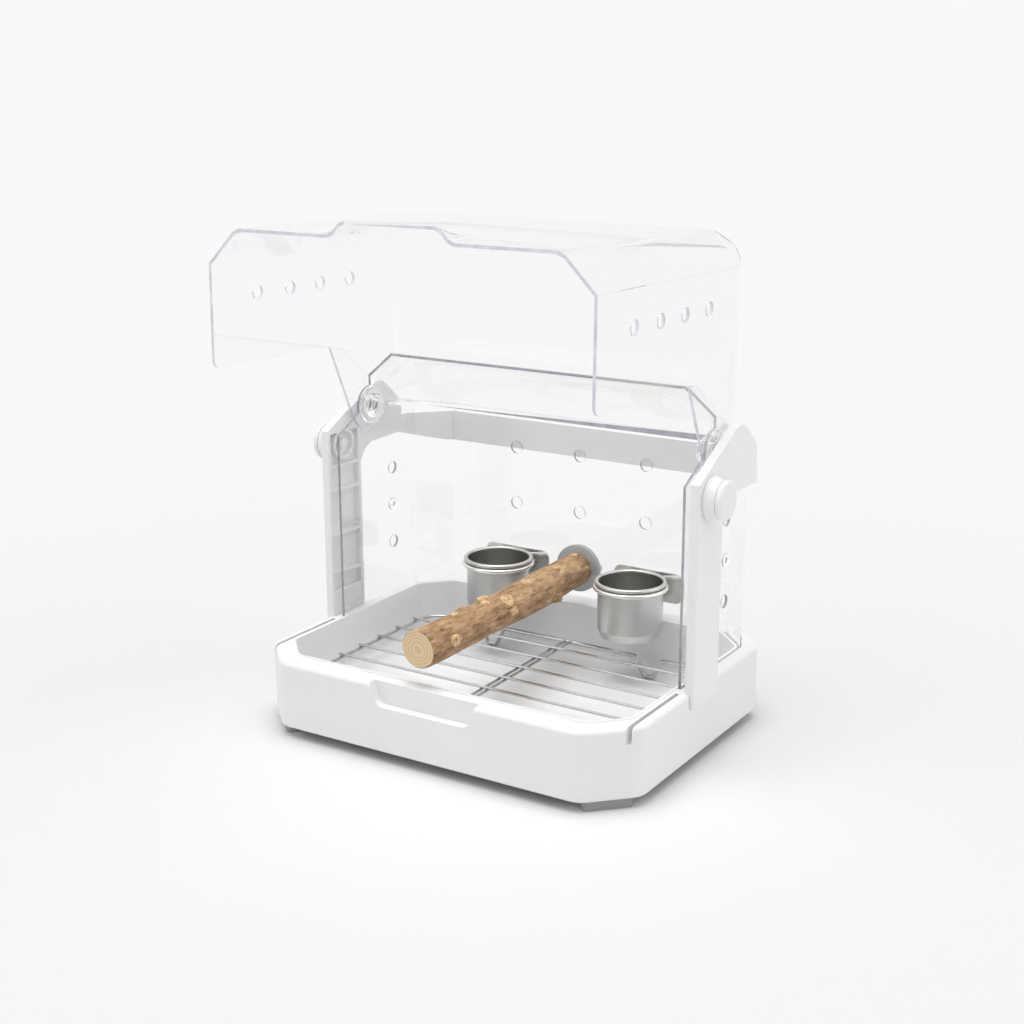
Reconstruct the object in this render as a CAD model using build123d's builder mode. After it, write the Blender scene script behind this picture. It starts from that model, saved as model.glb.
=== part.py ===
from build123d import *
import math
import os

os.makedirs("parts", exist_ok=True)

# Bird cage: a white tub, a white carrying frame of two arms and a rear crossbar,
# a fixed clear hood, a clear cover that swings up, a wire floor grid, two steel
# cups and a branch perch. The origin is on the floor under the middle of the tub.
# +X is the right side, +Y the rear, +Z up. All sizes are millimetres.

# Tub
foot_height = 7.5
lip_z = 58.0
rim_z = 57.2
floor_z = 17.5
tub_half_x = 153.2
tub_half_y = 121.0
tub_corner = 31.0
open_half_x = 140.0
open_half_y = 100.5
open_mid_y = -3.5
open_corner = 22.0
open_round = 8.0
lip_width = 1.6
groove_depth = 6.0

# Clear hood
hood_wall = 2.0
hood_half_x = 144.2
hood_rear_y = 101.2
hood_corner = 22.6
hood_front_y = -19.5
hood_shoulder_z = 198.6
hood_crease_z = 205.7
hood_radius = 41.4
hood_chamfer_x = 21.5
hood_chamfer_r = 18.2

# Cover and its hinge
pivot_y = 20.85
pivot_z = 215.45
open_angle = 91.2
cover_wall = 2.2
cover_half_x = 147.0
cover_front_y = -124.2
cover_foot_z = 46.0
cover_rear_y = -29.4
cover_radius = 44.5
cover_corner = 24.0
cover_round = 24.0
lug_radius = 19.4
lug_start_z = 170.0
tab_half = 36.9
tab_rise = 9.3
tab_depth = 34.0
pin_radius = 3.2
pin_fit = 0.05

# Frame
arm_inner_x = 149.4
arm_outer_x = 156.0
leg_front_y = -24.0
leg_rear_y = 14.0
leg_foot_z = 46.0
leg_top_z = 202.0
head_y = 38.0
head_z = 214.0
head_radius = 17.0
back_head = (51.5, 203.5, 16.5)
under_head = ((63.0, 185.5), (28.0, 184.8))
bar_low_z = 175.0
bar_high_z = 198.5
bar_inner_y = 102.2
bar_outer_y = 109.4
frame_corner_in = 224.0
frame_corner_out = 229.5
frame_round = 28.0
split_x = 107.0

# Knobs
knob_y = -5.0
knob_z = 189.5
knob_radius = 13.5

# Perch
perch_front = (-7.7, -112.0, 85.2)
perch_rear = (-3.0, 95.0, 88.0)
perch_radius = 13.4

# Cups
cup_places = ((-59.3, 69.9), (57.2, 69.9))
cup_top_z = 96.0
cup_height = 45.6
cup_radius = 24.6
cup_wall = 0.8
bolt_spread = 14.0
bolt_z = 84.7
bolt_radius = 2.0

# Wire grid
grid_z = 34.0
grid_half_x = 128.0
grid_front_y = -91.0
grid_rear_y = 77.0
grid_round = 20.0
border_wire = 1.5
rod_wire = 1.1
rod_count = 6

# Air holes
vent_radius = 5.0
rear_vent_x = (-61.0, -4.0, 53.0)
rear_vent_z = (176.5, 131.7)
side_vent_y = 46.5
side_vent_z = (161.0, 131.5, 101.0)
cover_vent_y = -76.6
cover_vent_z = (92.3, 127.1, 160.7, 195.5)


def octagon(half_x, half_y, corner, mid_y=0.0):
    """Points of a rectangle with its corners cut at 45 degrees."""
    quarter = [(half_x - corner, half_y), (half_x, half_y - corner)]
    points = []
    for sx, sy in ((1, 1), (1, -1), (-1, -1), (-1, 1)):
        ends = [(sx * x, mid_y + sy * y) for x, y in quarter]
        if sx * sy < 0:
            ends.reverse()
        points += ends
    return points


# Tub: outer wall with a soft rim, inner well, seat for the clear walls
leg_room = 0.3
skin = 3.0
ring_top_z = 35.0
tub_round = 16.0
rim_soft = 3.5
foot_soft = 2.0
well_round = 6.0
solid_corner = 14.0
slot_fit = 0.4
slot_drop = 0.5
recess_half = 37.0
recess_x = 0.0
recess_low_z = 41.0
recess_depth = 7.0
recess_round = 7.0
lip_points = octagon(open_half_x + lip_width, open_half_y + lip_width, open_corner + 0.7, open_mid_y)
recess_flare = (8.0, 8.0)
with BuildPart() as tub:
    with BuildSketch(Plane.XY.offset(foot_height)):
        Polygon(*octagon(tub_half_x, tub_half_y, tub_corner), align=None)
    extrude(amount=rim_z - foot_height)
    fillet(tub.edges().filter_by(Axis.Z), radius=tub_round)
    fillet(tub.faces().sort_by(Axis.Z)[-1].edges(), radius=rim_soft)
    fillet(tub.faces().sort_by(Axis.Z)[0].edges(), radius=foot_soft)
    with BuildSketch(Plane.XY.offset(rim_z - 8)) as lip_view:
        Polygon(*lip_points, align=None)
        fillet(lip_view.vertices(), radius=open_round + lip_width)
    extrude(amount=lip_z - rim_z + 8)
    with BuildSketch(Plane.XY.offset(floor_z)) as well_view:
        Polygon(*octagon(open_half_x, open_half_y, open_corner, open_mid_y), align=None)
        fillet(well_view.vertices(), radius=open_round)
    extrude(amount=lip_z, mode=Mode.SUBTRACT)
    well_floor = tub.faces().filter_by(Axis.Z).sort_by(SortBy.AREA)[-2:].sort_by(Axis.Z)[-1]
    fillet(well_floor.edges(), radius=well_round)
    # hollow underside, left solid behind the cut corners
    with BuildSketch(Plane.XY):
        Polygon(*octagon(tub_half_x - skin, tub_half_y - skin, tub_corner + solid_corner), align=None)
        Polygon(*octagon(open_half_x + skin, open_half_y + skin, open_corner, open_mid_y), align=None,
                mode=Mode.SUBTRACT)
    extrude(amount=ring_top_z, mode=Mode.SUBTRACT)
    with BuildSketch(Plane.XY):
        Polygon(*octagon(open_half_x, open_half_y, open_corner + solid_corner, open_mid_y), align=None)
    extrude(amount=floor_z - skin, mode=Mode.SUBTRACT)
    # groove for the foot of the hood, behind the front of its side walls
    with BuildSketch(Plane.XY.offset(rim_z - groove_depth)):
        Polygon(*octagon(hood_half_x + 0.1, hood_rear_y + 0.1, hood_corner), align=None)
        add(lip_view.sketch, mode=Mode.SUBTRACT)
        with Locations((0, hood_front_y - 100.1)):
            Rectangle(2 * tub_half_x, 200, mode=Mode.SUBTRACT)
    extrude(amount=20, mode=Mode.SUBTRACT)
    # slots that take the side walls of the closed cover
    for side in (-1, 1):
        with Locations((side * (cover_half_x - cover_wall / 2), cover_rear_y + 2, cover_foot_z - slot_drop)):
            Box(cover_wall + 2 * slot_fit, tub_half_y, 30, align=(Align.CENTER, Align.MAX, Align.MIN),
                mode=Mode.SUBTRACT)
    # notches for the feet of the arms
    for side in (-1, 1):
        notch_x = side * (arm_inner_x - leg_room)
        with Locations((notch_x, (leg_front_y + leg_rear_y) / 2, leg_foot_z - leg_room)):
            Box(20, leg_rear_y - leg_front_y + 2 * leg_room, 30,
                align=(Align.MIN if side > 0 else Align.MAX, Align.CENTER, Align.MIN), mode=Mode.SUBTRACT)
    # finger recess in the front face, open at the rim
    left_end = (recess_x - recess_half - recess_flare[0], rim_z + 4)
    right_end = (recess_x + recess_half + recess_flare[1], rim_z + 4)
    with BuildSketch(Plane.XZ.offset(tub_half_y - recess_depth)):
        with BuildLine():
            FilletPolyline(left_end, (recess_x - recess_half, recess_low_z),
                           (recess_x + recess_half, recess_low_z), right_end, radius=recess_round)
            Line(right_end, left_end)
        make_face()
    extrude(amount=recess_depth + 5, mode=Mode.SUBTRACT)
tub.part.label = "tub"
export_step(tub.part, "parts/tub.step")

# Feet: a rubber strip under each cut corner
foot_strip = (34.0, 10.0)
corner_x = tub_half_x - tub_corner / 2
corner_y = tub_half_y - tub_corner / 2
foot_inset = 6.0
with BuildPart() as feet:
    for sx in (-1, 1):
        for sy in (-1, 1):
            with BuildSketch(Plane.XY):
                spot = (sx * (corner_x - foot_inset), sy * (corner_y - foot_inset), 0)
                with Locations(Location(spot, (0, 0, -sx * sy * 45))):
                    RectangleRounded(foot_strip[0], foot_strip[1], 3)
            extrude(amount=foot_height)
feet.part.label = "corner_feet"
export_step(feet.part, "parts/corner_feet.step")


# Clear hood: side walls and rear wall with a quarter round visor about the hinge
neck_drop = 2.5
neck_run = 13.0
hinge_lobe = 15.3


def visor_points(half_x, radius):
    """Half outline of the visor: width against distance from the hinge axis."""
    inner_x = hood_half_x - hood_chamfer_x - 0.41 * (hood_half_x - half_x)
    inner_r = radius - hood_chamfer_r - 0.41 * (hood_half_x - half_x) + (hood_half_x - half_x)
    return [(half_x, 0), (half_x, inner_r), (inner_x, radius),
            (-inner_x, radius), (-half_x, inner_r), (-half_x, 0)]


def hood_solid(inset):
    """The space inside the hood's outer surface, or with an inset inside its inner one."""
    half_x = hood_half_x - inset
    radius = hood_radius - inset
    rear_y = hood_rear_y - inset
    foot_z = rim_z - groove_depth
    neck_z = pivot_z - neck_drop
    neck_y = pivot_y - neck_run
    drop = neck_drop + hood_wall + 0.5 * inset
    deck_y = pivot_y + radius
    reach = 12 * (inset > 0)
    outline = [(hood_front_y - reach, foot_z - reach), (hood_front_y - reach, hood_shoulder_z + reach),
               (neck_y, neck_z + reach), (deck_y, neck_z - inset), (rear_y, hood_crease_z - inset),
               (rear_y, foot_z - reach)]
    if inset:
        outline[3:3] = [(pivot_y, neck_z + reach), (pivot_y, neck_z - inset)]
    with BuildPart() as solid:
        with BuildSketch(Plane.YZ):
            Polygon(*outline, align=None)
        extrude(amount=half_x, both=True)
        with BuildSketch(Plane.XY.offset(foot_z - reach)):
            Polygon(*octagon(half_x, rear_y, hood_corner - 0.586 * inset), align=None)
        extrude(amount=250, mode=Mode.INTERSECT)
        with BuildSketch(Plane(origin=(0, pivot_y, pivot_z), x_dir=(1, 0, 0), z_dir=(0, -1, 0))):
            Polygon(*visor_points(half_x, radius), align=None)
        revolve(axis=Axis((0, pivot_y, pivot_z), (-1, 0, 0)), revolution_arc=98)
        with BuildSketch(Plane.XY.offset(pivot_z - drop)):
            with Locations((0, pivot_y)):
                Polygon(*visor_points(half_x, radius), align=None)
        extrude(amount=drop)
        with Locations(Location((0, pivot_y, pivot_z), (0, 90, 0))):
            Cylinder(hinge_lobe, 2 * half_x)
    return solid.part


hood_outside = hood_solid(0)
hood_inside = hood_solid(hood_wall)
pin_clearance = 0.3
perch_bolt_hole = 3.3
with BuildPart() as hood:
    add(hood_outside)
    add(hood_inside, mode=Mode.SUBTRACT)
    for side in (-1, 1):
        with Locations(Location((side * hood_half_x, pivot_y, pivot_z), (0, 90, 0))):
            Cylinder(pin_radius + pin_clearance, 12, mode=Mode.SUBTRACT)
        for z in side_vent_z:
            with Locations(Location((side * hood_half_x, side_vent_y, z), (0, 90, 0))):
                Cylinder(vent_radius, 12, mode=Mode.SUBTRACT)
    for x in rear_vent_x:
        for z in rear_vent_z:
            with Locations(Location((x, hood_rear_y, z), (90, 0, 0))):
                Cylinder(vent_radius, 12, mode=Mode.SUBTRACT)
    with Locations(Location((perch_rear[0], hood_rear_y, perch_rear[2]), (90, 0, 0))):
        Cylinder(perch_bolt_hole, 12, mode=Mode.SUBTRACT)
    for cup_x, cup_y in cup_places:
        for dx in (-bolt_spread, bolt_spread):
            with Locations(Location((cup_x + dx, hood_rear_y, bolt_z), (90, 0, 0))):
                Cylinder(bolt_radius + 0.2, 12, mode=Mode.SUBTRACT)
hood.part.label = "clear_hood"
export_step(hood.part, "parts/clear_hood.step")

# Small plugs in the middle side holes
with BuildPart() as plugs:
    for side in (-1, 1):
        plug_x = side * (hood_half_x - hood_wall / 2)
        with Locations(Location((plug_x, side_vent_y, side_vent_z[1]), (0, 90, 0))):
            Cylinder(vent_radius - 0.05, hood_wall + 0.6)
            Cylinder(2.0, hood_wall + 3.4, mode=Mode.SUBTRACT)
plugs.part.label = "vent_plugs"
export_step(plugs.part, "parts/vent_plugs.step")


# Cover: drawn closed, then turned open about the hinge
cover_soft = 3.2
tab_soft = 2.2
foot_corner_soft = 6.0
notch_soft = 5.0
lug_shoulder = 16.5


def cover_solid(inset):
    """The space inside the cover's outer surface, or with an inset inside its inner one."""
    half_x = cover_half_x - inset
    front_y = cover_front_y + inset
    top_z = pivot_z + cover_radius - inset
    reach = 60 * (inset > 0)
    bend = cover_round - inset
    drop = pivot_z - lug_start_z
    step = pivot_y - cover_rear_y
    lug_angle = math.atan2(drop, step) - math.asin(lug_radius / math.hypot(drop, step))
    lug_length = math.sqrt(drop**2 + step**2 - lug_radius**2)
    lug_y = cover_rear_y + lug_length * math.cos(lug_angle)
    lug_z = lug_start_z + lug_length * math.sin(lug_angle)
    with BuildPart() as solid:
        with BuildSketch(Plane.YZ) as side_view:
            with BuildLine():
                Polyline((front_y, cover_foot_z - reach), (front_y, top_z), (pivot_y + reach, top_z),
                         (pivot_y + reach, pivot_z), (lug_y + reach, lug_z),
                         (cover_rear_y + reach, lug_start_z), (cover_rear_y + reach, cover_foot_z - reach),
                         close=True)
            make_face()
            with Locations((pivot_y + reach, pivot_z)):
                Circle(lug_radius)
            if not inset:
                with Locations((pivot_y, pivot_z + lug_shoulder)):
                    Rectangle(60, 60, align=(Align.MIN, Align.MIN), mode=Mode.SUBTRACT)
            top_corner = side_view.vertices().sort_by(Axis.Y)[-2:].sort_by(Axis.X)[0]
            fillet(top_corner, radius=bend)
            if not inset:
                rear_foot = side_view.vertices().sort_by_distance((cover_rear_y, cover_foot_z, 0))[0]
                fillet(rear_foot, radius=foot_corner_soft)
                notch = side_view.vertices().sort_by_distance((cover_rear_y, lug_start_z, 0))[0]
                fillet(notch, radius=notch_soft)
        extrude(amount=half_x, both=True)
        with BuildSketch(Plane.XZ.offset(200)) as front_view:
            with Locations((0, top_z)):
                Rectangle(2 * half_x, 400, align=(Align.CENTER, Align.MAX))
            fillet(front_view.vertices().sort_by(Axis.Y)[-2:], radius=bend)
        extrude(amount=-400, mode=Mode.INTERSECT)
        with BuildSketch(Plane.XY.offset(-50)) as plan_view:
            with Locations((0, front_y)):
                Rectangle(2 * half_x, 400, align=(Align.CENTER, Align.MIN))
            chamfer(plan_view.vertices().sort_by(Axis.Y)[:2], length=cover_corner - 0.586 * inset)
            chamfer(plan_view.vertices().sort_by(Axis.Y)[:2], length=cover_soft)
        extrude(amount=400, mode=Mode.INTERSECT)
    return solid.part


def tab_solid(inset):
    """The bulge in the middle of the front wall, above the finger recess."""
    wall_y = cover_front_y + inset
    low_half = tab_half - 0.4 * inset
    top_half = tab_half + tab_rise - 0.4 * inset
    foot_z = cover_foot_z - 10 * (inset > 0)
    part = tab_soft / (top_half - low_half)

    def outline(rise):
        """Plan of the bulge at one height, with a short flat across each of its corners."""
        half = [(top_half + tab_soft, 0), (top_half - part * (top_half - low_half), part * rise),
                (low_half + part * (top_half - low_half), (1 - part) * rise), (low_half - tab_soft, rise)]
        right = [(x, wall_y - y) for x, y in half]
        left = [(-x, y) for x, y in reversed(right)]
        return [(half[0][0], wall_y + 1)] + right + left + [(-half[0][0], wall_y + 1)]

    with BuildPart() as solid:
        with BuildSketch(Plane.XY.offset(foot_z)):
            Polygon(*outline(tab_rise * (1 + 10 * (inset > 0) / tab_depth)), align=None)
        with BuildSketch(Plane.XY.offset(cover_foot_z + tab_depth)):
            Polygon(*outline(0.1), align=None)
        loft(ruled=True)
    return solid.part


cover_shapes = (cover_solid(0), tab_solid(0), cover_solid(cover_wall), tab_solid(cover_wall))
with BuildPart() as closed_cover:
    add(cover_shapes[0])
    add(cover_shapes[1])
    add(cover_shapes[2], mode=Mode.SUBTRACT)
    add(cover_shapes[3], mode=Mode.SUBTRACT)
    for side in (-1, 1):
        with Locations(Location((side * cover_half_x, pivot_y, pivot_z), (0, 90, 0))):
            Cylinder(pin_radius + pin_fit, 12, mode=Mode.SUBTRACT)
        for z in cover_vent_z:
            with Locations(Location((side * cover_half_x, cover_vent_y, z), (0, 90, 0))):
                Cylinder(vent_radius, 12, mode=Mode.SUBTRACT)
hinge_axis = Axis((0, pivot_y, pivot_z), (1, 0, 0))
with BuildPart() as cover:
    add(closed_cover.part.rotate(hinge_axis, -open_angle))
cover.part.label = "clear_cover"
export_step(cover.part, "parts/clear_cover.step")

# Frame: one side view cut by one plan view, then split into two arms and the bar
tangent = math.asin(head_radius / math.hypot(head_y - leg_front_y, head_z - leg_top_z))
slope = math.atan2(head_z - leg_top_z, head_y - leg_front_y) + tangent
touch = (head_y - head_radius * math.sin(slope), head_z + head_radius * math.cos(slope))
back_y, back_z, back_radius = back_head
head_step = math.hypot(back_y - head_y, back_z - head_z)
normal = ((head_z - back_z) / head_step, (back_y - head_y) / head_step)
leave = (head_y + head_radius * normal[0], head_z + head_radius * normal[1])
arrive = (back_y + back_radius * normal[0], back_z + back_radius * normal[1])


def plan_outline(half_x, rear_y, corner_sum):
    """Plan of the frame from the legs round the rear, as half of a cut rectangle."""
    front_y = leg_front_y - 20
    return [(-half_x, front_y), (-half_x, corner_sum - half_x), (rear_y - corner_sum, rear_y),
            (corner_sum - rear_y, rear_y), (half_x, corner_sum - half_x), (half_x, front_y)]


with BuildPart() as frame_block:
    with BuildSketch(Plane.YZ) as side_view:
        with BuildLine():
            Polyline((leg_front_y, leg_foot_z), (leg_front_y, leg_top_z), touch, (head_y, head_z), leave,
                     arrive, (back_y, back_z), (back_y + back_radius - 1, bar_high_z),
                     (bar_outer_y + 5, bar_high_z), (bar_outer_y + 5, bar_low_z),
                     (bar_inner_y - 4, bar_low_z), *under_head, (leg_rear_y + 6, 181), (leg_rear_y, 172),
                     (leg_rear_y, leg_foot_z), close=True)
        make_face()
        with Locations((head_y, head_z)):
            Circle(head_radius)
        with Locations((back_y, back_z)):
            Circle(back_radius)
    extrude(amount=tub_half_x + 10, both=True)
    with BuildSketch(Plane.XY) as plan:
        Polygon(*plan_outline(arm_outer_x, bar_outer_y, frame_corner_out), align=None)
        fillet(plan.vertices().sort_by(Axis.Y)[-4:], radius=frame_round)
        Polygon(*plan_outline(arm_inner_x, bar_inner_y, frame_corner_in), align=None, mode=Mode.SUBTRACT)
    extrude(amount=300, mode=Mode.INTERSECT)

rib_z = (75.4, 89.5, 120.4, 154.6)
rib_width = 2.0
channel_depth = 4.6
channel_wall = 3.0
pocket_drop = 15.0
pocket_height = 24.5
knob_ring = (11.6, 9.8)
with BuildPart() as right_arm:
    add(frame_block.part)
    with Locations((split_x, 0, 0)):
        Box(400, 400, 800, align=(Align.MIN, Align.CENTER, Align.CENTER), mode=Mode.INTERSECT)
    # ribbed channel in the inner face of the leg
    stops = [leg_foot_z + 4] + list(rib_z) + [knob_z - 16]
    for low, high in zip(stops, stops[1:]):
        with Locations((arm_inner_x, (leg_front_y + leg_rear_y) / 2, (low + high) / 2)):
            Box(2 * channel_depth, leg_rear_y - leg_front_y - 2 * channel_wall, high - low - rib_width,
                mode=Mode.SUBTRACT)
    # pocket behind the knob, with a ring about its bore
    with BuildSketch(Plane.YZ.offset(arm_inner_x - 1)):
        with Locations(((leg_front_y + leg_rear_y) / 2, knob_z - pocket_drop)):
            Rectangle(leg_rear_y - leg_front_y - 2 * channel_wall, pocket_height,
                      align=(Align.CENTER, Align.MIN))
        with Locations((knob_y, knob_z)):
            Circle(knob_ring[0], mode=Mode.SUBTRACT)
            Circle(knob_ring[1])
    extrude(amount=channel_depth + 1, mode=Mode.SUBTRACT)
    with Locations(Location((arm_inner_x, pivot_y, pivot_z), (0, 90, 0))):
        Cylinder(pin_radius, 10.4, mode=Mode.SUBTRACT)
    with Locations(Location((arm_inner_x, knob_y, knob_z), (0, 90, 0))):
        Cylinder(4.0, 40, mode=Mode.SUBTRACT)
    outer = right_arm.faces().filter_by(Plane.YZ).sort_by(Axis.X)[-1]
    leg_edges = [edge for edge in outer.edges().filter_by(GeomType.LINE) if edge.center().Z < under_head[1][1]]
    chamfer(leg_edges, length=0.8)
right_arm.part.label = "right_arm"
export_step(right_arm.part, "parts/right_arm.step")
with BuildPart() as left_arm:
    add(right_arm.part.mirror(Plane.YZ))
left_arm.part.label = "left_arm"
export_step(left_arm.part, "parts/left_arm.step")

with BuildPart() as crossbar:
    add(frame_block.part)
    Box(2 * split_x, 400, 800, mode=Mode.INTERSECT)
    fillet(crossbar.edges().filter_by(Axis.X).sort_by(Axis.Y)[-2:], radius=2.0)
crossbar.part.label = "rear_crossbar"
export_step(crossbar.part, "parts/rear_crossbar.step")

# Clip plates that close the foot of each channel
clip_room = 0.2
with BuildPart() as right_clip:
    with BuildSketch(Plane.YZ.offset(arm_inner_x + 0.2)):
        with Locations(((leg_front_y + leg_rear_y) / 2, (stops[0] + rib_z[0]) / 2)):
            RectangleRounded(leg_rear_y - leg_front_y - 2 * channel_wall - clip_room,
                             rib_z[0] - stops[0] - rib_width - clip_room, 2)
    extrude(amount=2.2)
right_clip.part.label = "right_foot_clip"
export_step(right_clip.part, "parts/right_foot_clip.step")
with BuildPart() as left_clip:
    add(right_clip.part.mirror(Plane.YZ))
left_clip.part.label = "left_foot_clip"
export_step(left_clip.part, "parts/left_foot_clip.step")

# Hinge pins: a wide clear head inside the hood, a shank through hood, cover and arm
pin_inner_x = hood_half_x - hood_wall
pin_head = 14.0
pin_boss = 8.7
head_x = pin_inner_x - 7.4
flange_x = pin_inner_x - 2.8
pin_end_x = arm_inner_x + 5.0
with BuildPart() as right_pin:
    with BuildSketch(Plane.XZ.offset(-pivot_y)) as half:
        with BuildLine():
            Polyline((head_x, pivot_z), (head_x, pivot_z + pin_boss - 0.8),
                     (head_x + 0.8, pivot_z + pin_boss), (flange_x, pivot_z + pin_boss + 0.6),
                     (flange_x, pivot_z + pin_head - 1.0), (flange_x + 0.8, pivot_z + pin_head),
                     (pin_inner_x - 0.1, pivot_z + pin_head), (pin_inner_x - 0.1, pivot_z + pin_radius),
                     (pin_end_x, pivot_z + pin_radius), (pin_end_x, pivot_z), close=True)
        make_face()
    revolve(axis=hinge_axis)
    with Locations(Location((head_x, pivot_y, pivot_z), (0, 90, 0))):
        Cylinder(5.4, 1.6, mode=Mode.SUBTRACT)
right_pin.part.label = "right_hinge_pin"
export_step(right_pin.part, "parts/right_hinge_pin.step")
with BuildPart() as left_pin:
    add(right_pin.part.mirror(Plane.YZ))
left_pin.part.label = "left_hinge_pin"
export_step(left_pin.part, "parts/left_hinge_pin.step")

washer_radius = 8.0
with BuildPart() as hinge_washers:
    for side in (-1, 1):
        with Locations(Location((side * (cover_half_x + arm_inner_x) / 2, pivot_y, pivot_z), (0, 90, 0))):
            Cylinder(washer_radius, arm_inner_x - cover_half_x - 0.2)
            Cylinder(pin_radius, 8, mode=Mode.SUBTRACT)
hinge_washers.part.label = "hinge_washers"
export_step(hinge_washers.part, "parts/hinge_washers.step")

# Knobs on the outside of the arms
shank_x = arm_inner_x + 0.6
collar_x = arm_outer_x + 0.2
knob_end_x = arm_outer_x + 12.6
disc_x = knob_end_x - 4.6
knob_shank = 3.94
collar_radius = 15.2
neck_radius = 12.4
knob_axis = Axis((0, knob_y, knob_z), (1, 0, 0))
with BuildPart() as right_knob:
    with BuildSketch(Plane.XZ.offset(-knob_y)):
        with BuildLine():
            Polyline((shank_x, knob_z), (shank_x, knob_z + knob_shank), (collar_x, knob_z + knob_shank),
                     (collar_x, knob_z + collar_radius), (collar_x + 1.6, knob_z + collar_radius),
                     (collar_x + 2.8, knob_z + collar_radius - 1.0), (disc_x, knob_z + collar_radius - 2.0),
                     (disc_x, knob_z + neck_radius), (disc_x + 0.7, knob_z + neck_radius),
                     (disc_x + 0.7, knob_z + knob_radius), (knob_end_x - 1.2, knob_z + knob_radius),
                     (knob_end_x - 0.3, knob_z + knob_radius - 0.7), (knob_end_x, knob_z + knob_radius - 2.4),
                     (knob_end_x, knob_z), close=True)
        make_face()
    revolve(axis=knob_axis)
right_knob.part.label = "right_knob"
export_step(right_knob.part, "parts/right_knob.step")
with BuildPart() as left_knob:
    add(right_knob.part.mirror(Plane.YZ))
left_knob.part.label = "left_knob"
export_step(left_knob.part, "parts/left_knob.step")

# Branch perch, its bolt, washers and wing nut
ring_count = 8
knots = ((0.12, 40, 3.4), (0.2, 300, 3.0), (0.3, 75, 3.8), (0.42, 20, 3.4), (0.5, 140, 4.2), (0.55, 330, 3.6),
         (0.66, 60, 3.6), (0.78, 200, 3.2), (0.86, 100, 3.0))


def perch_point(part):
    """A point on the middle line of the branch, which bows a little."""
    bow = 1.6 * math.sin(math.pi * part)
    x, y, z = (a + (b - a) * part for a, b in zip(perch_front, perch_rear))
    return (x + bow, y, z - 0.5 * bow)


with BuildPart() as perch:
    for ring in range(ring_count):
        part = ring / (ring_count - 1)
        x, y, z = perch_point(part)
        with BuildSketch(Plane(origin=(x, y, z), x_dir=(1, 0, 0), z_dir=(0, 1, 0))):
            Circle(perch_radius + 0.7 * math.cos(9 * part) - 0.6 * part)
    loft()
    for part, angle, size in knots:
        x, y, z = perch_point(part)
        reach = perch_radius - 0.35 * size
        turn = math.radians(angle)
        with Locations((x + reach * math.cos(turn), y, z + reach * math.sin(turn))):
            Sphere(size)
perch.part.label = "perch_branch"
export_step(perch.part, "parts/perch_branch.step")

wall_in_y = hood_rear_y - hood_wall


def perch_disc(radius, bore, start_y, end_y):
    """A round piece on the perch bolt, from one y to another."""
    with BuildPart() as disc:
        with Locations(Location((perch_rear[0], (start_y + end_y) / 2, perch_rear[2]), (90, 0, 0))):
            Cylinder(radius, end_y - start_y)
            if bore:
                Cylinder(bore, end_y - start_y, mode=Mode.SUBTRACT)
    return disc.part


bolt_shank = 3.0
perch_disc_radius = 18.5
washer_shape = perch_disc(perch_disc_radius, bolt_shank, perch_rear[1], wall_in_y - 0.05)
rear_washer_shape = perch_disc(9.0, bolt_shank, hood_rear_y + 0.05, hood_rear_y + 1.4)
bolt_shape = perch_disc(bolt_shank, 0, perch_rear[1], hood_rear_y + 11.0)
with BuildPart() as perch_washer:
    add(washer_shape)
perch_washer.part.label = "perch_washer"
export_step(perch_washer.part, "parts/perch_washer.step")
with BuildPart() as rear_washer:
    add(rear_washer_shape)
rear_washer.part.label = "perch_rear_washer"
export_step(rear_washer.part, "parts/perch_rear_washer.step")
with BuildPart() as perch_bolt:
    add(bolt_shape)
perch_bolt.part.label = "perch_bolt"
export_step(perch_bolt.part, "parts/perch_bolt.step")

nut_y = hood_rear_y + 1.5
with BuildPart() as wing_nut:
    with BuildSketch(Plane.XZ.offset(-nut_y)):
        with Locations((perch_rear[0], perch_rear[2])):
            Circle(6.0)
    extrude(amount=-6.0)
    with BuildSketch(Plane.XZ.offset(-nut_y - 1.0)):
        for side in (-1, 1):
            with Locations((perch_rear[0] + side * 9.0, perch_rear[2])):
                Ellipse(7.5, 5.0)
    extrude(amount=-2.4)
    with BuildSketch(Plane.XZ.offset(-nut_y + 1)):
        with Locations((perch_rear[0], perch_rear[2])):
            Circle(3.05)
    extrude(amount=-12, mode=Mode.SUBTRACT)
wing_nut.part.label = "perch_wing_nut"
export_step(wing_nut.part, "parts/perch_wing_nut.step")

# Steel cups, the rings that hold them, and their plates on the rear wall
rim_bead = 1.6
ring_bead = 1.7
cup_foot_z = cup_top_z - cup_height
ring_z = cup_top_z - 2 * rim_bead - ring_bead - 0.25
ring_major = cup_radius + 0.35 + ring_bead
plate_face_y = wall_in_y - 0.1
plate_thick = 1.4
plate_size = (58.0, 23.4)
plate_round = 6.0
strap_width = 14.0
strap_reach = 3.2
strap_thick = 1.6
cup_foot_round = 9.0


def cup_shape(cup_x, cup_y):
    """A steel cup with a rolled rim and a softened foot."""
    wall_x = cup_radius - cup_wall
    bead_z = cup_top_z - rim_bead
    with BuildPart() as shape:
        with BuildSketch(Plane.XZ):
            with BuildLine():
                Polyline((0, cup_foot_z), (cup_radius - cup_foot_round, cup_foot_z),
                         (cup_radius - 2.6, cup_foot_z + 2.6), (cup_radius, cup_foot_z + cup_foot_round),
                         (cup_radius, bead_z), (wall_x, bead_z), (wall_x, cup_foot_z + cup_foot_round),
                         (wall_x - 2.4, cup_foot_z + 3.3),
                         (cup_radius - cup_foot_round, cup_foot_z + cup_wall), (0, cup_foot_z + cup_wall),
                         close=True)
            make_face()
            with Locations((wall_x + rim_bead, bead_z)):
                Circle(rim_bead)
        revolve(axis=Axis.Z)
    return shape.part.moved(Location((cup_x, cup_y, 0)))


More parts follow.
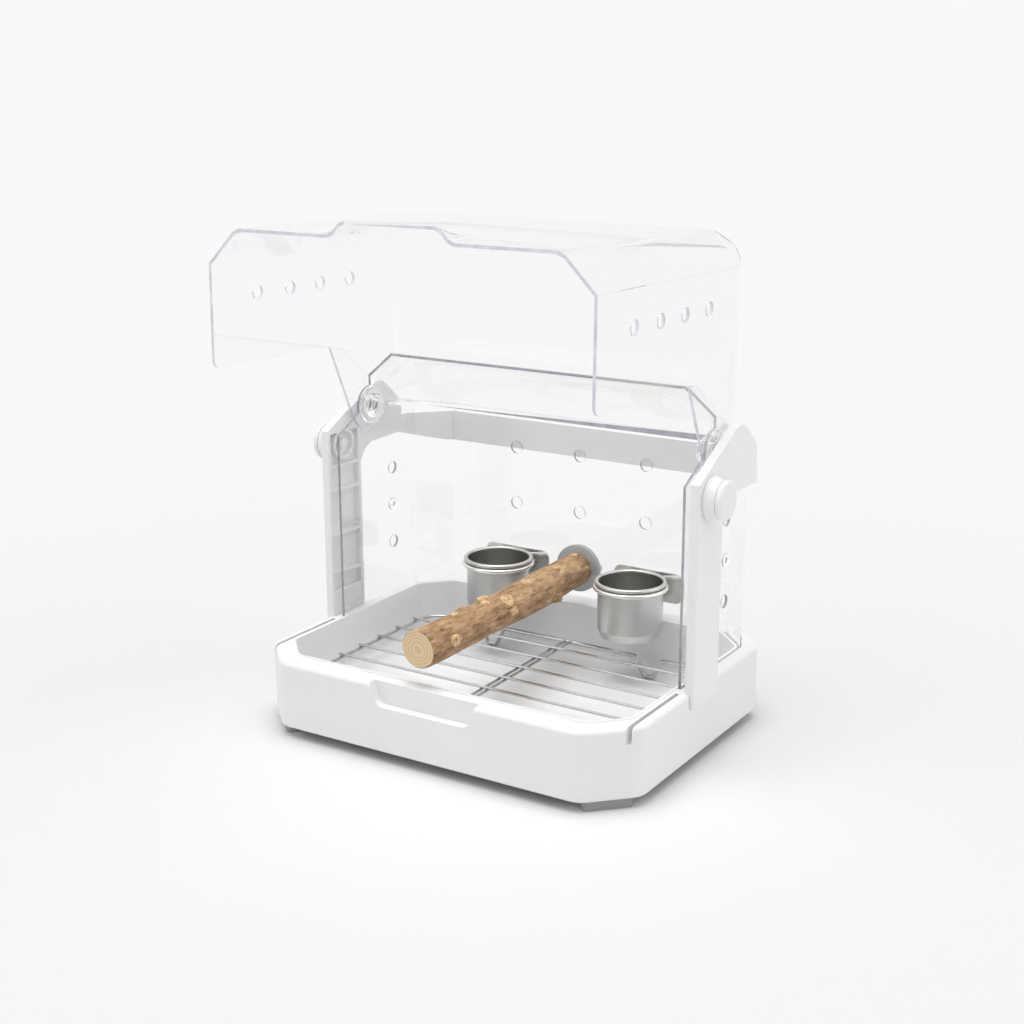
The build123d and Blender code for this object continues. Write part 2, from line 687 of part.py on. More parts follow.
def holder_shape(cup_x, cup_y):
    """A wire ring about a cup, a strap to the rear wall and a plate with two bolt holes."""
    with BuildPart() as shape:
        with Locations((cup_x, cup_y, ring_z)):
            Torus(ring_major, ring_bead)
        with Locations((cup_x, plate_face_y - 0.2, ring_z)):
            Box(strap_width, strap_reach, strap_thick, align=(Align.CENTER, Align.MAX, Align.CENTER))
        with BuildSketch(Plane.XZ.offset(-plate_face_y)):
            with Locations((cup_x, bolt_z)):
                RectangleRounded(plate_size[0], plate_size[1], plate_round)
        extrude(amount=plate_thick)
        with BuildSketch(Plane.XZ.offset(-plate_face_y - 5)):
            for dx in (-bolt_spread, bolt_spread):
                with Locations((cup_x + dx, bolt_z)):
                    Circle(bolt_radius)
        extrude(amount=20, mode=Mode.SUBTRACT)
    return shape.part


left_cup_shape = cup_shape(*cup_places[0])
right_cup_shape = cup_shape(*cup_places[1])
left_holder_shape = holder_shape(*cup_places[0])
right_holder_shape = holder_shape(*cup_places[1])
with BuildPart() as left_cup:
    add(left_cup_shape)
left_cup.part.label = "left_cup"
export_step(left_cup.part, "parts/left_cup.step")
with BuildPart() as right_cup:
    add(right_cup_shape)
right_cup.part.label = "right_cup"
export_step(right_cup.part, "parts/right_cup.step")
with BuildPart() as left_holder:
    add(left_holder_shape)
left_holder.part.label = "left_cup_holder"
export_step(left_holder.part, "parts/left_cup_holder.step")
with BuildPart() as right_holder:
    add(right_holder_shape)
right_holder.part.label = "right_cup_holder"
export_step(right_holder.part, "parts/right_cup_holder.step")

bolt_head = (3.8, 1.8)
nut_size = (4.2, 3.2)
with BuildPart() as bolts:
    for cup_x, cup_y in cup_places:
        for dx in (-bolt_spread, bolt_spread):
            with BuildSketch(Plane.XZ.offset(-(plate_face_y - plate_thick - 0.05))):
                with Locations((cup_x + dx, bolt_z)):
                    Circle(bolt_head[0])
            extrude(amount=bolt_head[1])
            with BuildSketch(Plane.XZ.offset(-(plate_face_y - plate_thick - 0.1))):
                with Locations((cup_x + dx, bolt_z)):
                    Circle(bolt_radius)
            extrude(amount=-(hood_rear_y + 5 - plate_face_y + plate_thick))
bolts.part.label = "holder_bolts"
export_step(bolts.part, "parts/holder_bolts.step")

with BuildPart() as nuts:
    for cup_x, cup_y in cup_places:
        for dx in (-bolt_spread, bolt_spread):
            with BuildSketch(Plane.XZ.offset(-hood_rear_y - 0.1)):
                with Locations((cup_x + dx, bolt_z)):
                    RegularPolygon(nut_size[0], 6)
                    Circle(bolt_radius, mode=Mode.SUBTRACT)
            extrude(amount=-nut_size[1])
nuts.part.label = "holder_nuts"
export_step(nuts.part, "parts/holder_nuts.step")

# Wire grid: border with feet bent down, long rods over it, cross rods under them
foot_bend_z = floor_z + border_wire + 0.2
foot_x = 70.0
foot_half = 11.0
bend_round = 3.0


def border_side(y, sign):
    """Points of one long side of the border, with its two feet."""
    points = []
    for middle in (sign * foot_x, -sign * foot_x):
        points += [(middle + sign * foot_half, y, grid_z), (middle + sign * 4, y, foot_bend_z),
                   (middle - sign * 4, y, foot_bend_z), (middle - sign * foot_half, y, grid_z)]
    return points


with BuildPart() as border:
    with BuildLine() as border_path:
        front = border_side(grid_front_y, -1)
        rear = border_side(grid_rear_y, 1)
        points = ([(grid_half_x, grid_front_y, grid_z)] + [(grid_half_x, grid_rear_y, grid_z)] + rear
                  + [(-grid_half_x, grid_rear_y, grid_z)] + [(-grid_half_x, grid_front_y, grid_z)] + front)
        radii = ([grid_round] * 2 + [bend_round] * 8) * 2
        FilletPolyline(*points, radius=radii, close=True)
    with BuildSketch(Plane(origin=(grid_half_x, 0, grid_z), x_dir=(1, 0, 0), z_dir=(0, 1, 0))):
        Circle(border_wire)
    sweep(path=border_path.wires()[0])
border.part.label = "grid_border"
export_step(border.part, "parts/grid_border.step")

long_z = grid_z + border_wire + rod_wire
pitch = (grid_rear_y - grid_front_y) / (rod_count + 1)
with BuildPart() as long_rods:
    for index in range(1, rod_count + 1):
        with Locations(Location((0, grid_front_y + pitch * index, long_z), (0, 90, 0))):
            Cylinder(rod_wire, 2 * grid_half_x + 3)
long_rods.part.label = "grid_long_rods"
export_step(long_rods.part, "parts/grid_long_rods.step")

with BuildPart() as cross_rods:
    for x in (-2.4, 2.4):
        with Locations(Location((x, (grid_front_y + grid_rear_y) / 2, long_z - 2 * rod_wire), (90, 0, 0))):
            Cylinder(rod_wire, grid_rear_y - grid_front_y - 2 * border_wire)
cross_rods.part.label = "grid_cross_rods"
export_step(cross_rods.part, "parts/grid_cross_rods.step")
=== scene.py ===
import math

import bmesh
import bpy
from mathutils import Matrix, Vector, noise
from mathutils.bvhtree import BVHTree


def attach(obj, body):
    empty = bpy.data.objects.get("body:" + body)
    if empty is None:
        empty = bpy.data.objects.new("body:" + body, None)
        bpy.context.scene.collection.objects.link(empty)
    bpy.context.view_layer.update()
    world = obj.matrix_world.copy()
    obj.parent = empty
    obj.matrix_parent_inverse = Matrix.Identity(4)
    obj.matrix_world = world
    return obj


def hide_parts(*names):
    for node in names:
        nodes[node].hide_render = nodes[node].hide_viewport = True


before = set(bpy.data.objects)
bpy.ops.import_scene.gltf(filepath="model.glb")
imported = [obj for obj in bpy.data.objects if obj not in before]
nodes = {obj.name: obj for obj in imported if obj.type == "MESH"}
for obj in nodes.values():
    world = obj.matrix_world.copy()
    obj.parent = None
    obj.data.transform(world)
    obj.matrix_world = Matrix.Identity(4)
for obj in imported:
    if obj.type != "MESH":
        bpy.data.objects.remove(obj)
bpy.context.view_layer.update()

# Camera and places, in metres. Right is +X, rear +Y, up +Z.
CAMERA_PLACE = Vector((0.60456, -0.96634, 0.47333))
CAMERA_TURN = (32.1518, 15.5405, -0.1533)
CAMERA_LENS = 58.08
# Soft lamps: name, direction they come from, strength and spread in degrees
LAMPS = (("left_lamp", (-0.5, -0.6, 0.62), 0.46, 60), ("right_lamp", (0.8, 0.3, 0.5), 0.6, 60),
         ("top_lamp", (0.0, -0.1, 1.0), 1.5, 45))
# What a camera or a clear pane sees past the floor, and the side from which polished faces mirror dark
SEEN = (0.945, 0.945, 0.945, 1)
DARK_SIDE = Vector((0.45, -0.8, 0.3)).normalized()
# Sheet thickness of the clear pieces, and how much thicker a face may measure before it counts as an edge
COVER_WALL = 0.0022
HOOD_WALL = 0.002
WALL_SLACK = 1.45
# Where the open cover ends in front, where its lower sides end, and its row of side holes
COVER_FRONT_Y = -0.145
COVER_LOW_Z = 0.27
COVER_SIDE_X = 0.14
COVER_HOLES_Z = 0.313
COVER_HOLES_REACH = 0.007
# Where the hood's sloping deck starts, its foot, its side walls and its rear wall
DECK_Y = 0.024
DECK_Z = 0.2
HOOD_FOOT_Z = 0.055
HOOD_SIDE_X = 0.1418
HOOD_REAR_Y = 0.0985
# Middle of the branch at its sawn end and at its washer, and its radius
PERCH_FRONT = Vector((-0.0077, -0.112, 0.0852))
PERCH_REAR = Vector((-0.003, 0.095, 0.088))
PERCH_RADIUS = 0.0134
# Length of the branch, and how far and how deep its sawn end is broken at the edge
BRANCH_LENGTH = 0.207
SAWN_EDGE = 0.0012
SAWN_DROP = 0.0009
# Pale floor near the cage, which turns into the seen backdrop between these distances
FLOOR_NEAR = 0.35
FLOOR_FAR = 1.1
# Strength of the even light from all round
ROOM_LIGHT = 0.52
# How often light may turn, or be mirrored, inside a pane before it leaves straight
PANE_TURNS = 9.5
PANE_MIRRORINGS = 1.5


def nothing_selected():
    """Leave edit mode and clear the selection."""
    if bpy.context.mode != "OBJECT":
        bpy.ops.object.mode_set(mode="OBJECT")
    bpy.ops.object.select_all(action="DESELECT")


def make_active(piece):
    nothing_selected()
    piece.select_set(True)
    bpy.context.view_layer.objects.active = piece


def settle(piece, name):
    """Put a piece's place into its mesh, name it and smooth it by angle."""
    make_active(piece)
    bpy.ops.object.transform_apply(location=True, rotation=True, scale=True)
    piece.name = name
    piece.data.name = name
    bpy.ops.object.shade_smooth_by_angle(angle=math.radians(35))
    return piece


def apply_modifiers(piece):
    make_active(piece)
    for step in [m.name for m in piece.modifiers]:
        bpy.ops.object.modifier_apply(modifier=step)


# Shader tools


def plain_material(name, base, roughness, **values):
    """A material with one Principled shader, with constants on its own sockets."""
    made = bpy.data.materials.new(name)
    made.use_nodes = True
    shader = made.node_tree.nodes["Principled BSDF"]
    shader.inputs["Base Color"].default_value = (*base, 1)
    shader.inputs["Roughness"].default_value = roughness
    for key, value in values.items():
        shader.inputs[key.replace("_", " ")].default_value = value
    made.diffuse_color = (*base, 1)
    return made, made.node_tree, shader


def object_place(tree):
    return tree.nodes.new("ShaderNodeTexCoord").outputs["Object"]


def new_group(name, inputs, outputs):
    """An empty shader group with named sockets."""
    group = bpy.data.node_groups.new(name, "ShaderNodeTree")
    for label, kind, value in inputs:
        socket = group.interface.new_socket(label, in_out="INPUT", socket_type=kind)
        if value is not None:
            socket.default_value = value
    for label, kind in outputs:
        group.interface.new_socket(label, in_out="OUTPUT", socket_type=kind)
    return group, group.nodes.new("NodeGroupInput"), group.nodes.new("NodeGroupOutput")


def place_group(tree, group, **values):
    node = tree.nodes.new("ShaderNodeGroup")
    node.node_tree = group
    for key, value in values.items():
        node.inputs[key.replace("_", " ")].default_value = value
    return node


def math_node(tree, operation, a, b=None):
    node = tree.nodes.new("ShaderNodeMath")
    node.operation = operation
    for index, value in enumerate((a, b)):
        if value is None:
            continue
        if isinstance(value, (int, float)):
            node.inputs[index].default_value = value
        else:
            tree.links.new(value, node.inputs[index])
    return node.outputs[0]


def noise_node(tree, place, scale, detail=3.0, rough=0.5):
    node = tree.nodes.new("ShaderNodeTexNoise")
    node.inputs["Scale"].default_value = scale
    node.inputs["Detail"].default_value = detail
    node.inputs["Roughness"].default_value = rough
    tree.links.new(place, node.inputs["Vector"])
    return node.outputs["Fac"]


def ramp(tree, value, stops):
    node = tree.nodes.new("ShaderNodeValToRGB")
    tree.links.new(value, node.inputs["Fac"])
    band = node.color_ramp
    while len(band.elements) < len(stops):
        band.elements.new(0.5)
    for element, (at, colour) in zip(band.elements, stops):
        element.position = at
        element.color = (*colour, 1)
    return node.outputs["Color"]


def stretch(tree, place, scale, turn=(0, 0, 0)):
    node = tree.nodes.new("ShaderNodeMapping")
    node.inputs["Scale"].default_value = scale
    node.inputs["Rotation"].default_value = turn
    tree.links.new(place, node.inputs["Vector"])
    return node.outputs["Vector"]


def bump(tree, shader, height, strength, distance):
    node = tree.nodes.new("ShaderNodeBump")
    node.inputs["Strength"].default_value = strength
    node.inputs["Distance"].default_value = distance
    tree.links.new(height, node.inputs["Height"])
    tree.links.new(node.outputs["Normal"], shader.inputs["Normal"])


def grain_group():
    """Fine moulded grain with faint handling marks: a height, a colour and a roughness."""
    group, entry, result = new_group(
        "moulded_grain",
        [("Place", "NodeSocketVector", None), ("Colour", "NodeSocketColor", (0.8, 0.8, 0.8, 1)),
         ("Grain Scale", "NodeSocketFloat", 1800.0), ("Shade", "NodeSocketFloat", 0.03),
         ("Roughness", "NodeSocketFloat", 0.4), ("Spread", "NodeSocketFloat", 0.08)],
        [("Colour", "NodeSocketColor"), ("Roughness", "NodeSocketFloat"), ("Height", "NodeSocketFloat")])
    fine = group.nodes.new("ShaderNodeTexNoise")
    fine.inputs["Detail"].default_value = 2.0
    group.links.new(entry.outputs["Place"], fine.inputs["Vector"])
    group.links.new(entry.outputs["Grain Scale"], fine.inputs["Scale"])
    cloud = noise_node(group, entry.outputs["Place"], 22.0, 4.0, 0.6)
    offset = math_node(group, "SUBTRACT", cloud, 0.5)
    shade = math_node(group, "MULTIPLY", offset, entry.outputs["Shade"])
    tint = group.nodes.new("ShaderNodeHueSaturation")
    group.links.new(entry.outputs["Colour"], tint.inputs["Color"])
    group.links.new(math_node(group, "ADD", shade, 1.0), tint.inputs["Value"])
    wear = math_node(group, "MULTIPLY", offset, entry.outputs["Spread"])
    group.links.new(tint.outputs["Color"], result.inputs["Colour"])
    group.links.new(math_node(group, "ADD", wear, entry.outputs["Roughness"]), result.inputs["Roughness"])
    group.links.new(fine.outputs["Fac"], result.inputs["Height"])
    return group


def brush_group():
    """Drawn metal: long fine scratches along one direction and a few soft stains."""
    group, entry, result = new_group(
        "brushed_metal",
        [("Place", "NodeSocketVector", None), ("Dark", "NodeSocketColor", (0.3, 0.3, 0.3, 1)),
         ("Light", "NodeSocketColor", (0.6, 0.6, 0.6, 1)), ("Roughness", "NodeSocketFloat", 0.3)],
        [("Colour", "NodeSocketColor"), ("Roughness", "NodeSocketFloat"), ("Height", "NodeSocketFloat")])
    lines = noise_node(group, entry.outputs["Place"], 1.0, 6.0, 0.7)
    stains = noise_node(group, entry.outputs["Place"], 0.02, 3.0, 0.5)
    blend = group.nodes.new("ShaderNodeMix")
    blend.data_type = "RGBA"
    group.links.new(lines, blend.inputs["Factor"])
    group.links.new(entry.outputs["Dark"], blend.inputs["A"])
    group.links.new(entry.outputs["Light"], blend.inputs["B"])
    soft = math_node(group, "MULTIPLY", math_node(group, "SUBTRACT", stains, 0.5), 0.25)
    group.links.new(blend.outputs["Result"], result.inputs["Colour"])
    group.links.new(math_node(group, "ADD", soft, entry.outputs["Roughness"]), result.inputs["Roughness"])
    group.links.new(lines, result.inputs["Height"])
    return group


GRAIN = grain_group()
BRUSH = brush_group()


def plastic(name, base, roughness, shade=0.03, strength=0.12, **values):
    made, tree, shader = plain_material(name, base, roughness, **values)
    finish = place_group(tree, GRAIN, Colour=(*base, 1), Roughness=roughness, Shade=shade)
    tree.links.new(object_place(tree), finish.inputs["Place"])
    tree.links.new(finish.outputs["Colour"], shader.inputs["Base Color"])
    tree.links.new(finish.outputs["Roughness"], shader.inputs["Roughness"])
    bump(tree, shader, finish.outputs["Height"], strength, 0.0004)
    return made


def steel(name, dark, light, roughness, scale, strength=0.06):
    made, tree, shader = plain_material(name, light, roughness, Metallic=1.0)
    finish = place_group(tree, BRUSH, Dark=(*dark, 1), Light=(*light, 1), Roughness=roughness)
    tree.links.new(stretch(tree, object_place(tree), scale), finish.inputs["Place"])
    tree.links.new(finish.outputs["Colour"], shader.inputs["Base Color"])
    tree.links.new(finish.outputs["Roughness"], shader.inputs["Roughness"])
    bump(tree, shader, finish.outputs["Height"], strength, 0.0002)
    return made


def clear_wall(name, base):
    """Clear acrylic. Light for the inside passes it, as through a real thin pane."""
    made, tree, shader = plain_material(name, base, 0.03, IOR=1.45)
    shader.inputs["Transmission Weight"].default_value = 1.0
    scuffs = noise_node(tree, object_place(tree), 30.0, 5.0, 0.65)
    haze = math_node(tree, "MULTIPLY", math_node(tree, "SUBTRACT", scuffs, 0.45), 0.12)
    tree.links.new(math_node(tree, "MAXIMUM", haze, 0.012), shader.inputs["Roughness"])
    pass_light(tree, shader, (0.98, 0.98, 0.98))
    return made


def pass_light(tree, shader, tint):
    """Let lamp light, and light caught long between the faces, through the pane without bending it."""
    through = tree.nodes.new("ShaderNodeBsdfTransparent")
    through.inputs["Color"].default_value = (*tint, 1)
    path = tree.nodes.new("ShaderNodeLightPath")
    turned = math_node(tree, "GREATER_THAN", path.outputs["Ray Depth"], PANE_TURNS)
    mirrored = math_node(tree, "GREATER_THAN", path.outputs["Glossy Depth"], PANE_MIRRORINGS)
    caught = math_node(tree, "MAXIMUM", turned, mirrored)
    straight = math_node(tree, "MAXIMUM", path.outputs["Is Shadow Ray"], caught)
    blend = tree.nodes.new("ShaderNodeMixShader")
    tree.links.new(straight, blend.inputs["Fac"])
    tree.links.new(shader.outputs["BSDF"], blend.inputs[1])
    tree.links.new(through.outputs["BSDF"], blend.inputs[2])
    tree.links.new(blend.outputs["Shader"], tree.nodes["Material Output"].inputs["Surface"])


def clear_edge_painted_shade(name, dark, light):
    """The sawn and polished edge of the clear sheet: a blue-gray tone, darkened as painted shade for the
    light that the edge bends away.
    """
    made, tree, shader = plain_material(name, light, 0.15, IOR=1.45)
    shader.inputs["Transmission Weight"].default_value = 0.35
    streaks = noise_node(tree, object_place(tree), 90.0, 3.0, 0.6)
    tone = ramp(tree, streaks, [(0.3, dark), (0.7, light)])
    tree.links.new(tone, shader.inputs["Base Color"])
    pass_light(tree, shader, (0.7, 0.71, 0.76))
    return made


def bark():
    """Dry bark: long ridges along the branch, reddish skin, worn pale flakes, and grooves darker the
    deeper they lie: partly the bark's own dark fissures, partly painted shade.
    """
    made, tree, shader = plain_material("bark", (0.34, 0.2, 0.11), 0.85)
    place = object_place(tree)
    ridges = noise_node(tree, stretch(tree, place, (1, 0.22, 1)), 420.0, 6.0, 0.68)
    plates = noise_node(tree, stretch(tree, place, (1, 0.45, 1)), 95.0, 5.0, 0.6)
    skin = ramp(tree, plates, [(0.3, (0.2, 0.125, 0.07)), (0.45, (0.35, 0.23, 0.13)),
                               (0.58, (0.43, 0.3, 0.18)), (0.72, (0.58, 0.46, 0.31))])
    # Darker where the ridge bump is low: partly the bark's dark fissures, partly painted shade in the
    # grooves.
    fissures_and_groove_shade = ramp(tree, ridges, [(0.34, (0.12, 0.06, 0.03)), (0.5, (0.72, 0.6, 0.5)), (0.75, (1, 1, 1))])
    blend = tree.nodes.new("ShaderNodeMix")
    blend.data_type = "RGBA"
    blend.blend_type = "MULTIPLY"
    blend.inputs["Factor"].default_value = 0.75
    tree.links.new(skin, blend.inputs["A"])
    tree.links.new(fissures_and_groove_shade, blend.inputs["B"])
    bright = tree.nodes.new("ShaderNodeHueSaturation")
    bright.inputs["Value"].default_value = 1.35
    tree.links.new(blend.outputs["Result"], bright.inputs["Color"])
    tree.links.new(bright.outputs["Color"], shader.inputs["Base Color"])
    height = math_node(tree, "ADD", ridges, math_node(tree, "MULTIPLY", plates, 0.8))
    bump(tree, shader, height, 0.9, 0.0012)
    return made


def knot_wood():
    """Pale wood of the trimmed buds."""
    made, tree, shader = plain_material("bud_wood", (0.56, 0.38, 0.2), 0.8)
    place = object_place(tree)
    mottle = noise_node(tree, place, 380.0, 4.0, 0.6)
    tone = ramp(tree, mottle, [(0.32, (0.36, 0.2, 0.1)), (0.52, (0.62, 0.42, 0.22)),
                               (0.72, (0.78, 0.6, 0.38))])
    tree.links.new(tone, shader.inputs["Base Color"])
    bump(tree, shader, mottle, 0.5, 0.0008)
    return made


def cut_wood():
    """Sawn end of the branch, with faint rings about its middle and a darker edge."""
    made, tree, shader = plain_material("cut_wood", (0.64, 0.48, 0.28), 0.75)
    place = object_place(tree)
    centred = tree.nodes.new("ShaderNodeMapping")
    centred.inputs["Location"].default_value = (-PERCH_FRONT.x, 0.0, -PERCH_FRONT.z)
    centred.inputs["Scale"].default_value = (1, 0.05, 1)
    tree.links.new(place, centred.inputs["Vector"])
    rings = tree.nodes.new("ShaderNodeTexWave")
    rings.wave_type = "RINGS"
    rings.rings_direction = "SPHERICAL"
    rings.inputs["Scale"].default_value = 160.0
    rings.inputs["Distortion"].default_value = 2.5
    rings.inputs["Detail"].default_value = 3.0
    tree.links.new(centred.outputs["Vector"], rings.inputs["Vector"])
    tone = ramp(tree, rings.outputs["Fac"], [(0.1, (0.64, 0.47, 0.265)), (0.6, (0.7, 0.54, 0.325)),
                                             (0.95, (0.74, 0.58, 0.37))])
    tree.links.new(tone, shader.inputs["Base Color"])
    bump(tree, shader, noise_node(tree, place, 900.0), 0.35, 0.0005)
    return made


WHITE = plastic("white_plastic", (0.83, 0.83, 0.835), 0.38)
WHITE_FRAME = plastic("white_frame_plastic", (0.85, 0.85, 0.85), 0.34, strength=0.08)
RUBBER = plastic("foot_rubber", (0.33, 0.33, 0.335), 0.75, shade=0.2, strength=0.3)
WASHER_GRAY = plastic("soft_gray_washer", (0.56, 0.57, 0.57), 0.35, Transmission_Weight=0.4)
CUP_STEEL = steel("cup_steel", (0.45, 0.45, 0.44), (0.68, 0.68, 0.665), 0.3, (60, 60, 2200))
PLATE_STEEL = steel("bracket_steel", (0.66, 0.655, 0.64), (0.9, 0.895, 0.87), 0.28, (120, 120, 1400))
BOLT_STEEL = steel("bolt_steel", (0.4, 0.4, 0.4), (0.62, 0.62, 0.61), 0.25, (700, 700, 700))
WIRE = steel("bright_wire", (0.42, 0.42, 0.42), (0.66, 0.66, 0.66), 0.16, (300, 300, 300))
CLEAR = clear_wall("clear_acrylic", (0.998, 0.999, 1.0))
COVER_CLEAR = clear_wall("cover_acrylic", (0.977, 0.979, 0.979))
# Cut edges of the hood and cover, darker than the clear walls as painted shade; the hood's edges are
# painted darker still.
HOOD_EDGE_PAINTED_SHADE = clear_edge_painted_shade("hood_edge_painted_shade", (0.24, 0.24, 0.28), (0.4, 0.4, 0.45))
COVER_EDGE_PAINTED_SHADE = clear_edge_painted_shade("cover_edge_painted_shade", (0.56, 0.565, 0.64), (0.76, 0.765, 0.83))
BARK = bark()
BUD = knot_wood()
CUT = cut_wood()

CARRIED = {
    "tub": WHITE, "corner_feet": RUBBER, "left_arm": WHITE_FRAME, "right_arm": WHITE_FRAME,
    "rear_crossbar": WHITE_FRAME, "left_foot_clip": WHITE_FRAME, "right_foot_clip": WHITE_FRAME,
    "left_knob": WHITE_FRAME, "right_knob": WHITE_FRAME, "perch_washer": WASHER_GRAY,
    "perch_bolt": BOLT_STEEL, "perch_rear_washer": BOLT_STEEL, "perch_wing_nut": BOLT_STEEL,
    "left_cup": CUP_STEEL, "right_cup": CUP_STEEL, "left_cup_holder": PLATE_STEEL,
    "right_cup_holder": PLATE_STEEL, "holder_bolts": BOLT_STEEL, "holder_nuts": BOLT_STEEL,
    "grid_border": WIRE, "grid_long_rods": WIRE, "grid_cross_rods": WIRE,
    "left_hinge_pin": CLEAR, "right_hinge_pin": CLEAR, "hinge_washers": CLEAR, "vent_plugs": CLEAR,
    "perch_branch": BARK, "clear_hood": CLEAR, "clear_cover": CLEAR,
}
for name, finish in CARRIED.items():
    nodes[name].data.materials.clear()
    nodes[name].data.materials.append(finish)


def cover_cut(face):
    """Where the open cover can show a cut edge: its front, its lower sides and its side holes."""
    place = face.calc_center_median()
    hole = abs(place.z - COVER_HOLES_Z) < COVER_HOLES_REACH and abs(place.x) > COVER_SIDE_X
    return place.y < COVER_FRONT_Y or place.z < COVER_LOW_Z or hole


def hood_cut(face):
    """Where the hood can show a cut edge: forward faces, foot, side walls and rear holes."""
    place = face.calc_center_median()
    deck = place.y > DECK_Y and place.z > DECK_Z
    wall = abs(place.x) > HOOD_SIDE_X or place.y > HOOD_REAR_Y
    return face.normal.y < -0.9 or place.z < HOOD_FOOT_Z or (wall and not deck)


def clear_shell(node, name, body, wall, may_be_cut, pane_and_shaded_edge):
    """A merged copy of a clear CAD piece, whose cut edges carry their own material with painted shade."""
    mesh = nodes[node].data.copy()
    piece = bpy.data.objects.new(name, mesh)
    bpy.context.scene.collection.objects.link(piece)
    make_active(piece)
    bpy.ops.object.mode_set(mode="EDIT")
    bpy.ops.mesh.select_all(action="SELECT")
    bpy.ops.mesh.remove_doubles(threshold=0.00001)
    bpy.ops.mesh.customdata_custom_splitnormals_clear()
    bpy.ops.object.mode_set(mode="OBJECT")
    mesh.materials.clear()
    for finish in pane_and_shaded_edge:
        mesh.materials.append(finish)
    shape = bmesh.new()
    shape.from_mesh(mesh)
    shape.normal_update()
    tree = BVHTree.FromBMesh(shape)
    for face in shape.faces:
        inward = -face.normal
        middle = face.calc_center_median()
        hit = tree.ray_cast(middle + inward * 0.00005, inward, 0.05)
        thin = hit[0] is not None and hit[3] < wall * WALL_SLACK
        face.material_index = 1 if may_be_cut(face) and not thin else 0
    shape.to_mesh(mesh)
    shape.free()
    settle(piece, name)
    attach(piece, body)
    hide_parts(node)
    return piece


clear_shell("clear_cover", "cover_shell", "cover", COVER_WALL, cover_cut, (COVER_CLEAR, COVER_EDGE_PAINTED_SHADE))
clear_shell("clear_hood", "hood_shell", "base", HOOD_WALL, hood_cut, (CLEAR, HOOD_EDGE_PAINTED_SHADE))

# Branch: a ridged bark skin, trimmed buds, a broken stub and a sawn end


def branch_frame(part):
    """A point on the middle line of the branch, from its sawn end to the washer."""
    bow = 0.0016 * math.sin(math.pi * part)
    spot = PERCH_FRONT.lerp(PERCH_REAR, part)
    return spot + Vector((bow, 0, -0.5 * bow))


def branch_radius(part, turn):
    """Radius of the branch: slow swellings and shallow lengthwise ridges."""
    place = Vector((1.1 * math.cos(turn), 5.0 * part, 1.1 * math.sin(turn)))
    swell = 0.00055 * noise.noise(place) + 0.0004 * math.cos(9 * part) - 0.0005 * part
    place = Vector((7.5 * math.cos(turn), 9.0 * part, 7.5 * math.sin(turn)))
    ridge = 0.00028 * noise.noise(place) + 0.00014 * noise.noise(place * 2.3)
    return PERCH_RADIUS - 0.0001 + swell + ridge


def branch():
    around, along = 96, 150
    bpy.ops.mesh.primitive_cylinder_add(vertices=around, radius=1, depth=1, end_fill_type="NOTHING")
    piece = bpy.context.active_object
    shape = bmesh.new()
    shape.from_mesh(piece.data)
    lines = [e for e in shape.edges if abs(e.verts[0].co.z - e.verts[1].co.z) > 0.5]
    bmesh.ops.subdivide_edges(shape, edges=lines, cuts=along, use_grid_fill=True)
    for point in shape.verts:
        part = point.co.z + 0.5
        turn = math.atan2(point.co.y, point.co.x)
        reach = branch_radius(part, turn)
        edge = min(part * BRANCH_LENGTH / SAWN_EDGE, 1)
        reach -= SAWN_DROP * (1 - edge) ** 2
        point.co = branch_frame(part) + Vector((reach * math.cos(turn), 0, reach * math.sin(turn)))
    shape.to_mesh(piece.data)
    shape.free()
    make_active(piece)
    bpy.ops.object.mode_set(mode="EDIT")
    bpy.ops.mesh.select_all(action="SELECT")
    bpy.ops.mesh.fill_holes(sides=0)
    bpy.ops.mesh.normals_make_consistent(inside=False)
    bpy.ops.object.mode_set(mode="OBJECT")
    piece.data.materials.append(BARK)
    piece.data.materials.append(CUT)
    for face in piece.data.polygons:
        face.material_index = 1 if len(face.vertices) > 8 else 0
    settle(piece, "bark_branch")
    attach(piece, "base")
    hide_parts("perch_branch")


# Part along the branch, turn about it, size, and height above the bark in metres
BUDS = ((0.81, 72, 0.0034, 0.0012), (0.61, 76, 0.0043, 0.0015), (0.45, 48, 0.0054, 0.0018),
        (0.46, 12, 0.0038, 0.0013), (0.36, 78, 0.0032, 0.0006), (0.38, 100, 0.0042, 0.0022),
        (0.97, 88, 0.003, 0.0006), (0.12, 8, 0.0044, 0.001), (0.2, 92, 0.003, 0.0006),
        (0.29, 128, 0.0036, 0.001))
STUB = (0.75, -30)
STUB_SIZE = 0.0056


def bud(index, part, turn, size, rise):
    """A trimmed bud: a low lumpy button with a flat top."""
    turn = math.radians(turn)
    out = Vector((math.cos(turn), 0, math.sin(turn)))
    reach = branch_radius(part, turn) + rise
    bpy.ops.mesh.primitive_ico_sphere_add(subdivisions=4, radius=1)
    piece = bpy.context.active_object
    side = Vector((0, 1, 0))
    across = out.cross(side)
    middle = branch_frame(part) + out * (reach - 0.35 * size)
    for point in piece.data.vertices:
        x, y, z = point.co
        lump = 1 + 0.16 * noise.noise(Vector((x, y, z)) * 1.7 + Vector((index * 3.1, 0, 0)))
        top = min(z, 0.42 + 0.12 * noise.noise(Vector((x, y, index)) * 2.5))
        point.co = middle + size * lump * (1.25 * x * side + 0.95 * y * across) + size * top * out
    piece.data.materials.append(BUD)
    settle(piece, "trimmed_bud_%d" % index)
    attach(piece, "base")


